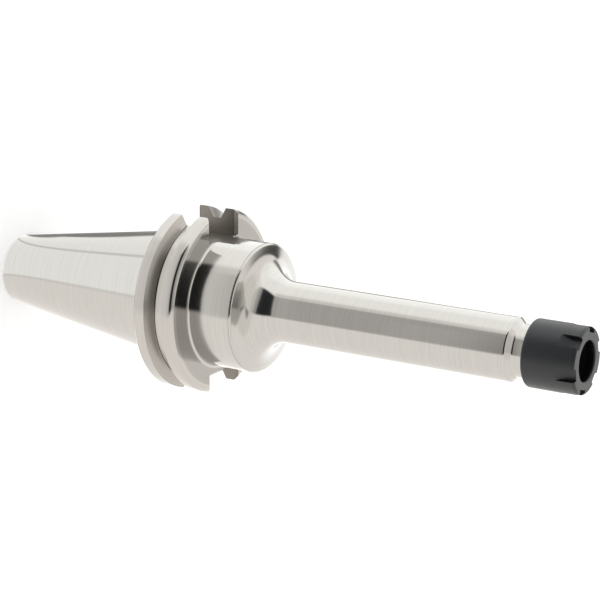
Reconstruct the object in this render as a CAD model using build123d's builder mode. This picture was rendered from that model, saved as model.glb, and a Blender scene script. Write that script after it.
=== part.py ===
# Collet chuck holder: a steep-taper tool holder with a long slim nose and a small clamping nut.
# All sizes in millimetres. +Z runs along the spindle axis from the taper towards the clamping nut,
# the origin is the centre of the taper's gauge plane, and the key slots face +Y and -Y.
from build123d import *
from math import cos, radians, sin, tan
import os

# Spindle taper: a cone of 7 in 24 on the diameter, size 40
gauge_diameter = 44.45
taper_ratio = 7 / 24
taper_length = 68.25
small_end_chamfer = 0.8
neck_relief_depth = 0.5
neck_relief_start = 0.6

# Flange with the tool changer's V-groove
flange_diameter = 63.5
flange_rear_z = 3.175
flange_front_z = 19.05
flange_rear_chamfer = 0.8
flange_front_chamfer = 1.1
groove_centre_z = 11.1
groove_bottom_diameter = 56.36
groove_bottom_width = 2.93
groove_flank_angle = 30.0

# Key slots for the spindle's drive keys
slot_width = 16.4
slot_edge_chamfer = 1.0
deep_slot_floor = 21.8
shallow_slot_floor = 25.0

# Front body and the flared shoulder
body_diameter = 44.45
body_root_chamfer = 0.8
shoulder_step = 0.15
shoulder_round = 0.8
shoulder_lean = 10.0
flare_radius = 10.47
flare_end_z = 46.3

# Long shank and the threaded nose behind the nut
shank_diameter = 21.0
shank_end_z = 128.7
neck_diameter = 17.2
nose_thread_diameter = 19.0
nose_start_z = 135.2
nose_end_z = 145.6
nose_chamfer = 0.5

# Drawbar end: pilot bore, tapped hole and coolant bore
pilot_diameter = 16.28
pilot_depth = 4.8
drawbar_hole_diameter = 13.5
drawbar_hole_depth = 30.0
drill_point_angle = 118.0
coolant_diameter = 6.0

# Collet pocket and the stop screw's bore
collet_half_angle = 8.0
pocket_mouth_diameter = 16.2
pocket_chamfer = 0.3
pocket_bore_diameter = 11.0
stop_bore_top_z = 118.0
stop_bore_bottom_z = 80.0

# Stop screw
stop_screw_diameter = 10.0
stop_screw_length = 16.0
stop_screw_top_z = 112.0
stop_screw_chamfer = 0.8
stop_screw_clearance = 0.05
socket_across_flats = 5.0
socket_depth = 6.0
screw_coolant_diameter = 3.0

# Clamping nut
nut_diameter = 22.0
nut_length = 18.0
nut_face_z = 152.4
nut_rear_chamfer = 0.7
nut_front_chamfer_length = 0.9
nut_front_chamfer_depth = 0.55
nut_thread_clearance = 0.05
nut_entry_depth = 1.0
nut_relief_depth = 0.35
nut_thread_margin = 0.4
nut_relief_length = 0.8
nut_opening_diameter = 13.3
nut_opening_length = 0.9
nut_opening_chamfer = 0.25
nut_seat_angle = 30.0
nut_seat_diameter = 16.4
extraction_lip_diameter = 15.4
extraction_lip_offset = 0.5
extraction_lip_length = 0.9
spanner_slot_count = 6
spanner_slot_width = 4.2
spanner_slot_depth = 2.0
spanner_slot_length = 6.5
spanner_slot_angle = 73.4

# Values worked out from the sizes above
small_end_z = -taper_length
gauge_radius = gauge_diameter / 2
small_end_radius = gauge_radius - taper_length * taper_ratio / 2
flange_radius = flange_diameter / 2
body_radius = body_diameter / 2
shank_radius = shank_diameter / 2
neck_radius = neck_diameter / 2
nose_radius = nose_thread_diameter / 2
groove_half_bottom = groove_bottom_width / 2
groove_depth = (flange_diameter - groove_bottom_diameter) / 2
groove_half_top = groove_half_bottom + groove_depth * tan(radians(groove_flank_angle))
shoulder_angle = 90 - shoulder_lean
neck_start_z = shank_end_z + shank_radius - neck_radius
pocket_depth = (pocket_mouth_diameter - pocket_bore_diameter) / 2 / tan(radians(collet_half_angle))
pocket_bottom_z = nose_end_z - pocket_depth
stop_bore_diameter = stop_screw_diameter + 2 * stop_screw_clearance
nut_rear_z = nut_face_z - nut_length
nut_bore_radius = nose_radius + nut_thread_clearance
nut_relief_radius = nut_bore_radius + nut_relief_depth
nut_thread_end_z = nose_end_z + nut_thread_margin
nut_lip_z = nut_thread_end_z + nut_relief_length


def polar(centre, radius, angle):
    """Point at an angle in degrees on a circle round a centre."""
    return (centre[0] + radius * cos(radians(angle)), centre[1] + radius * sin(radians(angle)))


def drill_point(radius, tip_radius):
    """Axial length of a drilled hole's cone between two radii."""
    return (radius - tip_radius) / tan(radians(drill_point_angle / 2))


def shoulder_round_centre(flare_centre):
    """Centre of the shoulder's round, so that the leaning face touches both the round and the flare."""
    centre_r = body_radius - shoulder_step - shoulder_round
    across = (flare_centre[0] - centre_r) * cos(radians(shoulder_angle)) - flare_radius - shoulder_round
    return (centre_r, flare_centre[1] + across / sin(radians(shoulder_angle)))


# Holder body: one turned, milled and ground piece
with BuildPart() as holder_body:
    with BuildSketch(Plane.XZ):
        with BuildLine():
            taper = Polyline(
                (0, small_end_z),
                (small_end_radius - small_end_chamfer, small_end_z),
                (small_end_radius + small_end_chamfer * taper_ratio / 2, small_end_z + small_end_chamfer),
                (gauge_radius, 0),
                (gauge_radius, neck_relief_start),
                (gauge_radius - neck_relief_depth, neck_relief_start + neck_relief_depth),
                (gauge_radius - neck_relief_depth, flange_rear_z),
            )
            Polyline(
                taper @ 1,
                (flange_radius - flange_rear_chamfer, flange_rear_z),
                (flange_radius, flange_rear_z + flange_rear_chamfer),
                (flange_radius, groove_centre_z - groove_half_top),
                (groove_bottom_diameter / 2, groove_centre_z - groove_half_bottom),
                (groove_bottom_diameter / 2, groove_centre_z + groove_half_bottom),
                (flange_radius, groove_centre_z + groove_half_top),
                (flange_radius, flange_front_z - flange_front_chamfer),
                (flange_radius - flange_front_chamfer, flange_front_z),
                (body_radius + body_root_chamfer, flange_front_z),
                (body_radius, flange_front_z + body_root_chamfer),
            )
            flare_centre = (shank_radius + flare_radius, flare_end_z)
            shoulder_centre = shoulder_round_centre(flare_centre)
            Polyline(
                (body_radius, flange_front_z + body_root_chamfer),
                (body_radius, shoulder_centre[1]),
                polar(shoulder_centre, shoulder_round, 0),
            )
            CenterArc(shoulder_centre, shoulder_round, 0, shoulder_angle)
            Line(
                polar(shoulder_centre, shoulder_round, shoulder_angle),
                polar(flare_centre, flare_radius, 180 + shoulder_angle),
            )
            CenterArc(flare_centre, flare_radius, 180 + shoulder_angle, -shoulder_angle)
            Polyline(
                polar(flare_centre, flare_radius, 180),
                (shank_radius, shank_end_z),
                (neck_radius, neck_start_z),
                (neck_radius, nose_start_z),
                (nose_radius, nose_start_z + nose_radius - neck_radius),
                (nose_radius, nose_end_z - nose_chamfer),
                (nose_radius - nose_chamfer, nose_end_z),
                (0, nose_end_z),
                (0, small_end_z),
            )
        make_face()
    revolve(axis=Axis.Z)

    # Drawbar end: pilot bore, tapped hole with its drill point, coolant bore
    with BuildSketch(Plane.XZ):
        with BuildLine():
            hole_end_z = small_end_z + drawbar_hole_depth
            Polyline(
                (0, small_end_z),
                (pilot_diameter / 2, small_end_z),
                (pilot_diameter / 2, small_end_z + pilot_depth),
                (drawbar_hole_diameter / 2, small_end_z + pilot_depth),
                (drawbar_hole_diameter / 2, hole_end_z),
                (coolant_diameter / 2,
                 hole_end_z + drill_point(drawbar_hole_diameter / 2, coolant_diameter / 2)),
                (coolant_diameter / 2, stop_bore_bottom_z),
                (stop_bore_diameter / 2,
                 stop_bore_bottom_z + drill_point(stop_bore_diameter / 2, coolant_diameter / 2)),
                (stop_bore_diameter / 2, stop_bore_top_z),
                (pocket_bore_diameter / 2, stop_bore_top_z),
                (pocket_bore_diameter / 2, pocket_bottom_z),
                (pocket_mouth_diameter / 2, nose_end_z),
                (0, nose_end_z),
                (0, small_end_z),
            )
        make_face()
    revolve(axis=Axis.Z, mode=Mode.SUBTRACT)
    mouth = holder_body.edges().filter_by(GeomType.CIRCLE).sort_by(
        lambda edge: abs(edge.center().Z - nose_end_z) + abs(edge.radius - pocket_mouth_diameter / 2))[0]
    chamfer(mouth, pocket_chamfer)

    # Key slots, run in by an end mill that stands radially and stops at the front face
    slot_top = flange_radius + slot_edge_chamfer
    for side, floor in ((1, deep_slot_floor), (-1, shallow_slot_floor)):
        with BuildSketch(Plane.XZ.offset(-side * floor)):
            with Locations((0, (flange_rear_z + flange_front_z) / 2)):
                Rectangle(slot_width, flange_front_z - flange_rear_z)
            with Locations((0, flange_front_z)):
                Circle(slot_width / 2)
        extrude(amount=-side * (slot_top - floor), mode=Mode.SUBTRACT)

    # Broken edges round both mouths of each slot
    for mouth_z, inward in ((flange_rear_z, 1), (flange_front_z, -1)):
        for side, floor in ((1, deep_slot_floor), (-1, shallow_slot_floor)):
            mouth_floor = max(floor - slot_edge_chamfer, body_radius)
            with BuildSketch(Plane.XY.offset(mouth_z)):
                with Locations((0, side * (mouth_floor + slot_top) / 2)):
                    Rectangle(slot_width + 2 * slot_edge_chamfer, slot_top - mouth_floor)
            with BuildSketch(Plane.XY.offset(mouth_z + inward * slot_edge_chamfer)):
                with Locations((0, side * (floor + slot_top) / 2)):
                    Rectangle(slot_width, slot_top - floor)
            loft(mode=Mode.SUBTRACT)
holder_body.part.label = "holder_body"

# Clamping nut: one piece, bored, threaded, with the collet's seat and its eccentric extraction lip
with BuildPart() as clamping_nut:
    with BuildSketch(Plane.XZ):
        with BuildLine():
            opening_radius = nut_opening_diameter / 2
            seat_top_z = nut_face_z - nut_opening_length
            seat_rise = (nut_seat_diameter / 2 - opening_radius) / tan(radians(nut_seat_angle))
            Polyline(
                (nut_relief_radius, nut_rear_z),
                (nut_diameter / 2 - nut_rear_chamfer, nut_rear_z),
                (nut_diameter / 2, nut_rear_z + nut_rear_chamfer),
                (nut_diameter / 2, nut_face_z - nut_front_chamfer_length),
                (nut_diameter / 2 - nut_front_chamfer_depth, nut_face_z),
                (opening_radius + nut_opening_chamfer, nut_face_z),
                (opening_radius, nut_face_z - nut_opening_chamfer),
                (opening_radius, seat_top_z),
                (nut_seat_diameter / 2, seat_top_z - seat_rise),
                (nut_seat_diameter / 2, nut_lip_z),
                (nut_relief_radius, nut_lip_z),
                (nut_relief_radius, nut_thread_end_z),
                (nut_bore_radius, nut_thread_end_z - nut_relief_depth),
                (nut_bore_radius, nut_rear_z + nut_entry_depth + nut_relief_depth),
                (nut_relief_radius, nut_rear_z + nut_entry_depth),
                close=True,
            )
        make_face()
    revolve(axis=Axis.Z)

    # Extraction lip: its bore stands off the axis, so that it grips the collet's groove on one side
    with BuildSketch(Plane.XY.offset(nut_lip_z)):
        Circle((nut_seat_diameter + nut_relief_depth) / 2)
        with Locations((extraction_lip_offset, 0)):
            Circle(extraction_lip_diameter / 2, mode=Mode.SUBTRACT)
    extrude(amount=extraction_lip_length)

    # Spanner slots, milled by a disc cutter that runs out along the nut
    rise = spanner_slot_depth
    cutter_radius = (spanner_slot_length ** 2 + rise ** 2) / (2 * rise)
    cutter_centre_r = nut_diameter / 2 - spanner_slot_depth + cutter_radius
    with BuildPart(mode=Mode.PRIVATE) as slot_cutter:
        with BuildSketch(Plane.XZ):
            with Locations((cutter_centre_r, nut_face_z)):
                Circle(cutter_radius)
        extrude(amount=spanner_slot_width / 2, both=True)
    with PolarLocations(0, spanner_slot_count, start_angle=spanner_slot_angle):
        add(slot_cutter.part, mode=Mode.SUBTRACT)
clamping_nut.part.label = "clamping_nut"

# Stop screw: a set screw with a hexagon socket and a coolant hole, in the bore behind the collet
with BuildPart() as stop_screw:
    with BuildSketch(Plane.XY.offset(stop_screw_top_z - stop_screw_length)):
        Circle(stop_screw_diameter / 2)
    extrude(amount=stop_screw_length)
    chamfer(stop_screw.edges().filter_by(GeomType.CIRCLE), stop_screw_chamfer)
    with BuildSketch(Plane.XY.offset(stop_screw_top_z)):
        RegularPolygon(socket_across_flats / 2, 6, major_radius=False)
    extrude(amount=-socket_depth, mode=Mode.SUBTRACT)
    with Locations((0, 0, stop_screw_top_z)):
        Hole(screw_coolant_diameter / 2)
stop_screw.part.label = "stop_screw"

os.makedirs("parts", exist_ok=True)
export_step(holder_body.part, "parts/holder_body.step")
export_step(clamping_nut.part, "parts/clamping_nut.step")
export_step(stop_screw.part, "parts/stop_screw.step")
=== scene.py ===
"""Collet chuck holder: its shapes, finishes and stage, laid out as an add-on and run as a script."""

import math
from types import SimpleNamespace

import bmesh
import bpy
import numpy as np
from mathutils import Matrix, Vector


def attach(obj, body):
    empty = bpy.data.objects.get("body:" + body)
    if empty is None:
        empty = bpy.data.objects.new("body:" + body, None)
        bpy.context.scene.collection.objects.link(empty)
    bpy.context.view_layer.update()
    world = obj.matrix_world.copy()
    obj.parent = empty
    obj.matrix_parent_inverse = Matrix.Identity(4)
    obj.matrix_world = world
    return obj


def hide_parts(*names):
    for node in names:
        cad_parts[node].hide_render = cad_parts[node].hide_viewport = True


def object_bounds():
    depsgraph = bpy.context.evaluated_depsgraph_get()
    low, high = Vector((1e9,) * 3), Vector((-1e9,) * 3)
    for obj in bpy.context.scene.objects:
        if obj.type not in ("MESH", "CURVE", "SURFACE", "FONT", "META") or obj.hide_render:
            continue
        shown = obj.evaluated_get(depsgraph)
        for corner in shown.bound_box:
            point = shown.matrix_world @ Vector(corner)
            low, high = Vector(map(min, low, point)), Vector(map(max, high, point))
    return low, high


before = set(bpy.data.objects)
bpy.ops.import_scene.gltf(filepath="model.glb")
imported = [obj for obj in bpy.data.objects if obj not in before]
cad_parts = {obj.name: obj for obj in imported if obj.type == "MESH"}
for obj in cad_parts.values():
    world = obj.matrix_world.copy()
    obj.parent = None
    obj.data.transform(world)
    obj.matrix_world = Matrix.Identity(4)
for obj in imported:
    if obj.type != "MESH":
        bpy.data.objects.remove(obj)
CAD_BOX = [list(corner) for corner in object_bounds()]

bl_info = {
    "name": "Collet Chuck Holder",
    "version": (1, 0, 0),
    "blender": (4, 5, 0),
    "location": "View3D > Sidebar > Holder",
    "description": "Builds a steep-taper collet chuck holder, its clamping nut, its stop screw and a stage",
    "category": "Add Mesh",
}

MM = 0.001
TURN = 2 * math.pi

# Meshes
SHARP_ANGLE = math.radians(12.0)  # an edge that turns by more is drawn sharp
MERGE_DISTANCE = 2e-7  # metres within which two corners are made one
TOUCH = 1e-6  # millimetres within which two levels count as one
SECTOR_COLUMNS = 192  # columns of faces round the holder and the nut
SCREW_COLUMNS = 96
LONGEST_REACH = 0.4  # share of a side that the round at its end may take
MARK_ROWS = 10  # rows round the cutter's mark
RUN_OUT_ROWS = 8  # rows over a spanner slot's run-out, and as many over the rest of its length

# Rows of the flange's faces, in millimetres beyond a key slot's floor or corner. They stand close where the
# slot's edge turns fast.
DEEP_ROWS = (0.0, 0.1, 0.3, 0.6, 1.0, 1.5)
SHALLOW_ROWS = (0.0, 0.06, 0.2, 0.5, 1.0)
OUTER_ROWS = (0.0, 1.7, 3.4)

# Rows of the nut's face, in millimetres beyond a spanner slot's corner, over its floor and inside it.
NUT_OUTER_ROWS = (0.9, 0.45, 0.0)
NUT_FLOOR_ROWS = (0.16, 0.07, 0.02, 0.0)
NUT_INNER_ROW = 0.5
NUT_RIM_GAP = 0.2  # from the nut's last straight row to its bevel

# A thread's form: the share of its pitch, and the height of the form there.
THREAD_FORM = ((0.0, 0), (0.24, 0), (0.56, 1), (0.68, 1))
DRILL_ANGLE = math.radians(59.0)  # half the angle of a drill's point

# How far the painted shade line in the groove's rear corner reaches, out and along, in radii of the corner's
# round.
SHADE_LINE_REACH = (0.3, 0.4)

# Stage, in metres
FLOOR_HALF = 3.0
FLOOR_GAP = 0.0001  # keeps the floor clear of the small end's face
FLOOR_GLOW = 0.25  # lifts the floor to white where it is seen
WORLD_LIGHT = 0.9  # the world's strength on the object; it is 1, which is white, where it is seen
TENT_STRENGTH = 2.1  # makes up for the light that the steel swallows
TENT_RADIUS = 3.0
TENT_EYE = 0.118  # height over the floor from which the tent's panels are laid out
DOME_COLUMNS, DOME_ROWS = 241, 121
GROUND_ROWS = 90
GROUND_NEAR, GROUND_FAR = 0.005, 0.98 * TENT_RADIUS


# Properties

def size(name, description, default):
    """A length property, from a default in millimetres. Blender keeps lengths in metres."""
    return bpy.props.FloatProperty(name=name, description=description, default=default * MM,
                                   unit="LENGTH", precision=5)


def slant(name, description, degrees):
    """An angle property, from a default in degrees. Blender keeps angles in radians."""
    return bpy.props.FloatProperty(name=name, description=description, default=math.radians(degrees),
                                   subtype="ANGLE")


def in_millimetres(group):
    """A group's values with its lengths in millimetres, rounded to a tenth of a micron, because
    Blender keeps them in single precision."""
    values = {}
    for key in type(group).__annotations__:
        value = getattr(group, key)
        is_length = group.bl_rna.properties[key].unit == "LENGTH"
        values[key] = round(value / MM, 4) if is_length else value
    return SimpleNamespace(**values)


def tint(name, description, value):
    """A colour property whose default is an sRGB hex value turned to linear."""
    return bpy.props.FloatVectorProperty(name=name, description=description, default=linear(value),
                                         size=3, subtype="COLOR", min=0.0, max=1.0)


def linear(value):
    """Linear red, green and blue of an sRGB hex colour such as "#C8C4BA"."""
    parts = [int(value[i:i + 2], 16) / 255 for i in (1, 3, 5)]
    return tuple(c / 12.92 if c <= 0.04045 else ((c + 0.055) / 1.055) ** 2.4 for c in parts)


class HolderSizes(bpy.types.PropertyGroup):
    gauge_radius: size("Gauge radius", "Radius of the taper at the gauge plane", 22.225)
    taper_slope: bpy.props.FloatProperty(
        name="Taper slope", description="Change of the taper's radius with its length", default=7 / 48)
    taper_length: size("Taper length", "From the gauge plane to the small end", 68.25)
    end_chamfer: size("Small end chamfer", "Chamfer round the taper's small end", 0.8)
    relief_depth: size("Relief depth", "Undercut between the taper and the flange", 0.5)
    relief_start: size("Relief start", "Where the undercut begins", 0.6)
    flange_radius: size("Flange radius", "Outer radius of the flange", 31.75)
    flange_rear: size("Flange rear", "Height of the flange's rear face", 3.175)
    flange_front: size("Flange front", "Height of the flange's front face", 19.05)
    rear_chamfer: size("Rear chamfer", "Chamfer on the flange's rear edge", 0.8)
    front_chamfer: size("Front chamfer", "Length of the chamfer on the flange's front edge", 1.1)
    front_chamfer_depth: size("Front chamfer depth", "Depth of the same chamfer", 1.1)
    groove_round: size("Groove round", "Radius in the groove's two bottom corners", 0.7)
    land_round: size("Land round", "Radius between the front land and its chamfer", 1.6)
    front_round: size("Front round", "Radius between the front chamfer and the front face", 0.4)
    shank_round: size("Shank round", "Radius on the shank's end edge and the neck's root", 0.8)
    groove_centre: size("Groove centre", "Height of the V-groove's middle", 11.1)
    groove_radius: size("Groove radius", "Radius of the V-groove's flat bottom", 28.18)
    groove_bottom: size("Groove bottom", "Width of the V-groove's flat bottom", 2.93)
    groove_flank: slant("Groove flank", "Angle of each flank from the flange's faces", 30.0)
    slot_half_width: size("Slot half width", "Half the width of a key slot", 8.2)
    slot_chamfer: size("Slot chamfer", "Broken edge at a key slot's mouths", 1.0)
    deep_floor: size("Deep floor", "From the axis to the deeper key slot's floor", 21.8)
    shallow_floor: size("Shallow floor", "From the axis to the shallower key slot's floor", 25.0)
    body_end: size("Body end", "Where the front body's cylinder ends", 34.9)
    root_fillet: size("Root fillet", "Fillet between the flange and the body", 0.8)
    shoulder_step: size("Shoulder step", "Small step where the shoulder's round begins", 0.15)
    shoulder_round: size("Shoulder round", "Radius of the shoulder's outer edge", 0.8)
    shoulder_tilt: slant("Shoulder tilt", "How far the shoulder's face leans back from flat", 10.0)
    flare: size("Flare", "Radius of the flare into the shank", 10.47)
    flare_end: size("Flare end", "Where the flare meets the shank", 46.3)
    shank_radius: size("Shank radius", "Radius of the long shank", 10.5)
    shank_end: size("Shank end", "Where the shank's end cone begins", 128.7)
    neck_radius: size("Neck radius", "Radius of the neck behind the nut", 8.6)
    nose_radius: size("Nose radius", "Radius of the threaded nose", 9.5)
    nose_start: size("Nose start", "Where the threaded nose begins", 135.2)
    nose_end: size("Nose end", "Height of the nose's front face", 145.6)
    nose_chamfer: size("Nose chamfer", "Chamfer on the nose's front edge", 0.5)
    pilot_radius: size("Pilot radius", "Radius of the pilot bore in the small end", 8.14)
    pilot_depth: size("Pilot depth", "Depth of the pilot bore", 4.8)
    drawbar_radius: size("Drawbar radius", "Minor radius of the drawbar thread", 6.75)
    drawbar_depth: size("Drawbar depth", "Depth of the tapped hole", 30.0)
    drawbar_pitch: size("Drawbar pitch", "Pitch of the drawbar thread", 2.309)
    drawbar_thread: size("Drawbar thread", "Depth of the drawbar thread's form", 1.15)
    coolant_radius: size("Coolant radius", "Radius of the coolant bore", 3.0)
    stop_bore_radius: size("Stop bore radius", "Radius of the stop screw's bore", 5.05)
    stop_bore_bottom: size("Stop bore bottom", "Where the stop screw's bore begins", 80.0)
    stop_bore_top: size("Stop bore top", "Where the stop screw's bore ends", 118.0)
    pocket_bore_radius: size("Pocket bore radius", "Radius behind the collet's pocket", 5.5)
    pocket_mouth: size("Pocket mouth", "Radius of the collet's pocket at its mouth", 8.1)
    pocket_chamfer: size("Pocket chamfer", "Chamfer at the pocket's mouth", 0.3)
    pocket_angle: slant("Pocket angle", "Half angle of the collet's pocket", 8.0)
    edge_round: size("Edge round", "Radius that breaks the ground edges", 0.12)


class NutSizes(bpy.types.PropertyGroup):
    radius: size("Radius", "Outer radius of the nut", 11.0)
    rear: size("Rear", "Height of the nut's rear face", 134.4)
    face: size("Face", "Height of the nut's front face", 152.4)
    rear_round: size("Rear round", "Radius of the rear edge", 0.9)
    bevel_length: size("Bevel length", "Length of the bevel on the front edge", 0.9)
    bevel_depth: size("Bevel depth", "Depth of the bevel on the front edge", 0.55)
    bevel_round: size("Bevel round", "Radius that softens the bevel's two edges", 0.3)
    entry_radius: size("Entry radius", "Radius of the clearance behind and before the thread", 9.9)
    entry_depth: size("Entry depth", "Depth of the clearance at the rear", 1.0)
    thread_radius: size("Thread radius", "Radius of the thread's clearance bore", 9.55)
    thread_end: size("Thread end", "Where the thread ends", 146.0)
    lip_start: size("Lip start", "Where the extraction lip begins", 146.8)
    lip_length: size("Lip length", "Length of the extraction lip", 0.9)
    lip_radius: size("Lip radius", "Radius of the lip's eccentric bore", 7.7)
    lip_offset: size("Lip offset", "How far the lip's bore stands off the axis", 0.5)
    seat_radius: size("Seat radius", "Radius where the collet's seat begins", 8.2)
    seat_angle: slant("Seat angle", "Half angle of the collet's seat", 30.0)
    opening_radius: size("Opening radius", "Radius of the front opening", 6.65)
    opening_length: size("Opening length", "Length of the front opening", 0.9)
    opening_chamfer: size("Opening chamfer", "Chamfer round the front opening", 0.25)
    slot_count: bpy.props.IntProperty(
        name="Slot count", description="Spanner slots round the front", default=6, min=1)
    slot_half_width: size("Slot half width", "Half the width of a spanner slot", 2.1)
    slot_depth: size("Slot depth", "Depth of a spanner slot at the front face", 2.0)
    slot_length: size("Slot length", "Length over which a slot runs out", 6.5)
    slot_angle: slant("Slot angle", "Angle of the first spanner slot round the axis", 73.4)
    edge_round: size("Edge round", "Radius that breaks the opening's edges", 0.06)


class ScrewSizes(bpy.types.PropertyGroup):
    radius: size("Radius", "Outer radius of the stop screw", 5.0)
    bottom: size("Bottom", "Height of the screw's lower end", 96.0)
    top: size("Top", "Height of the screw's upper end", 112.0)
    chamfer: size("Chamfer", "Chamfer at each end", 0.8)
    pitch: size("Pitch", "Pitch of the screw's thread", 1.5)
    thread_depth: size("Thread depth", "Depth of the screw's thread", 0.8)
    socket_half_width: size("Socket half width", "Half the width across the socket's flats", 2.5)
    socket_depth: size("Socket depth", "Depth of the hexagon socket", 6.0)
    coolant_radius: size("Coolant radius", "Radius of the coolant hole", 1.5)


class Finishes(bpy.types.PropertyGroup):
    ground_steel: tint("Ground steel", "Hardened alloy steel, ground bright", "#B9B8B5")
    turned_steel: tint("Turned steel", "Hardened alloy steel, finish turned", "#B7B5B2")
    # The faced steel is darker than the turned steel: painted shade on the flange's front face.
    face_steel_with_painted_shade: tint("Faced steel", "Hardened alloy steel on the flange's front face", "#A3A19E")
    # The grooved steel is darker than the turned steel: painted shade on the groove's flanks.
    flank_steel_with_painted_shade: tint("Grooved steel", "Hardened alloy steel on the flanks of the groove", "#A3A09C")
    # Painted shade: the darkest steel, drawn as a dark line in the groove's rear corner.
    corner_shade_steel: tint("Corner steel", "Steel under old oil in the groove's rear corner", "#514F4C")
    milled_steel: tint("Milled steel", "Hardened alloy steel in the milled slots", "#84807B")
    bored_steel: tint("Bored steel", "Hardened alloy steel in the bores", "#979592")
    black_oxide: tint("Black oxide", "Blackened steel of the nut and the stop screw", "#0E1116")


class StageLook(bpy.types.PropertyGroup):
    floor: tint("Floor", "Pale studio floor", "#FAFAFA")
    camera_place: bpy.props.FloatVectorProperty(
        name="Camera place", description="Where the camera stands", default=(-0.5267, 0.1696, 0.3586),
        subtype="TRANSLATION", unit="LENGTH")
    camera_right: bpy.props.FloatVectorProperty(
        name="Camera right", description="Direction to the right of the picture",
        default=(0.50816, 0.00775, 0.86124), subtype="DIRECTION")
    camera_up: bpy.props.FloatVectorProperty(
        name="Camera up", description="Direction to the top of the picture",
        default=(0.22057, 0.96543, -0.13883), subtype="DIRECTION")
    lens: bpy.props.FloatProperty(
        name="Lens", description="Focal length of the camera", default=113.35, unit="CAMERA")
    sensor: bpy.props.FloatProperty(
        name="Sensor", description="Width of the camera's sensor", default=36.0, unit="CAMERA")


# Profiles: rows of (radius, height) in millimetres, from one end of a turned outline to the other

def rows(*points):
    """Rows at the points given, in order."""
    return np.array(points, float).reshape(-1, 2)


def bend(centre, radius, start, end, step=9.0):
    """Rows round an arc: the centre plus the radius times the cosine and sine of an angle in degrees
    that goes evenly from start to end, in steps no longer than step."""
    count = max(2, math.ceil(abs(end - start) / step))
    angle = np.radians(np.linspace(start, end, count + 1))
    return np.stack([centre[0] + radius * np.cos(angle), centre[1] + radius * np.sin(angle)], 1)


def eased(points, radii, step=9.0):
    """A polyline with each inner corner replaced by an arc, tangent to both its sides: the arc's
    centre lies on the corner's bisector, radius over the cosine of half the turn away. A corner that
    turns by less than a step stays. radii is one radius for all corners, or one for each."""
    out = [points[0]]
    radii = np.broadcast_to(radii, len(points) - 2)
    for before, corner, after, radius in zip(points[:-2], points[1:-1], points[2:], radii):
        a, b = np.subtract(before, corner), np.subtract(after, corner)
        la, lb = np.linalg.norm(a), np.linalg.norm(b)
        a, b = a / la, b / lb
        turn = math.pi - math.acos(np.clip(a @ b, -1, 1))
        if turn < math.radians(step):
            out.append(corner)
            continue
        reach = min(radius * math.tan(turn / 2), LONGEST_REACH * la, LONGEST_REACH * lb)
        small = reach / math.tan(turn / 2)
        middle = (a + b) / np.linalg.norm(a + b)
        centre = np.asarray(corner) + middle * small / math.cos(turn / 2)
        first, last = np.asarray(corner) + a * reach, np.asarray(corner) + b * reach
        start = math.atan2(*(first - centre)[::-1])
        sweep = (math.atan2(*(last - centre)[::-1]) - start + math.pi) % TURN - math.pi
        count = max(2, math.ceil(round(turn / math.radians(step), 6)))
        angle = start + sweep * np.linspace(0, 1, count + 1)
        out.extend(np.stack([centre[0] + small * np.cos(angle), centre[1] + small * np.sin(angle)], 1))
    out.append(points[-1])
    return np.array(out, float)


# Surfaces: grids of points, each one a function of a row and a column

class Slot:
    """An open slot across a turned ring: a flat floor at a height over the axis, and two flat walls."""

    def __init__(self, angle, floor, half):
        """angle is where the slot's middle stands; floor and half give, for each row, the floor's
        distance from the axis and half the slot's width, with an endless floor where there is no slot."""
        self.angle, self.floor, self.half = angle, floor, half

    def edge(self, outline):
        """Half width of the slot on each ring: the least of the slot's own half width and of where
        the ring meets the floor, the root of radius squared less floor squared."""
        inside = np.maximum(outline[:, 0] ** 2 - self.floor ** 2, 0)
        return np.minimum(self.half, np.sqrt(inside))

    def place(self, across, out, up):
        """Points at given distances across the slot, out from the axis and up, turned to its angle."""
        c, s = math.cos(self.angle), math.sin(self.angle)
        across, out, up = np.broadcast_arrays(across, out, up)
        return np.stack([out * c - across * s, out * s + across * c, up], -1)


def ring_part(outline, start, end, columns, radius=None):
    """A turned surface between two angles for each row: radius times the cosine and sine of an angle
    that goes evenly from start to end. radius may give another radius for each row and angle."""
    share = np.linspace(0, 1, columns + 1)
    start, end = np.broadcast_to(start, len(outline)), np.broadcast_to(end, len(outline))
    angle = start[:, None] + (end - start)[:, None] * share
    r = outline[:, :1] if radius is None else radius(outline, angle)
    z = np.broadcast_to(outline[:, 1:], angle.shape)
    return np.stack([r * np.cos(angle), r * np.sin(angle), z], -1)


def slotted_ring(outline, slots, columns, radius=None):
    """A turned surface cut by slots: each sector runs from the edge of one slot to that of the next,
    where a slot's edge stands off its middle by the arc sine of its half width over the radius."""
    parts = []
    for slot, after in zip(slots, slots[1:] + slots[:1]):
        gap = (after.angle - slot.angle) % TURN or TURN
        begin = slot.angle + np.arcsin(slot.edge(outline) / outline[:, 0])
        end = slot.angle + gap - np.arcsin(after.edge(outline) / outline[:, 0])
        parts.append(ring_part(outline, begin, end, columns // len(slots), radius))
    return parts


def ruled(left, right, first, last):
    """A surface of straight lines from a left curve to a right one. Each line is cut at shares that
    go evenly from those of the first line to those of the last."""
    along = np.linspace(0, 1, len(left))[:, None]
    share = (1 - along) * np.asarray(first) + along * np.asarray(last)
    return left[:, None] + (right - left)[:, None] * share[..., None]


def helix_wall(radius, low, high, pitch, depth, start, columns):
    """A threaded wall: radius plus depth times the thread's form, where height goes up by one pitch
    with each turn, is held between low and high, and the form fades in and out over a pitch."""
    form = np.array(THREAD_FORM)
    turns = math.ceil((high - low) / pitch) + 1
    steps = (np.arange(-1, turns)[:, None] + form[:, 0]).ravel()
    rise = np.tile(form[:, 1], turns + 1)
    share = np.linspace(0, 1, columns + 1)
    z = np.clip(low + pitch * (steps[:, None] + share), low, high)
    fade = np.clip((z - low) / pitch, 0, 1) * np.clip((high - z) / pitch, 0, 1)
    r = radius + depth * rise[:, None] * fade
    angle = start + TURN * share
    return np.stack([r * np.cos(angle), r * np.sin(angle), z], -1)


# Meshes

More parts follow.
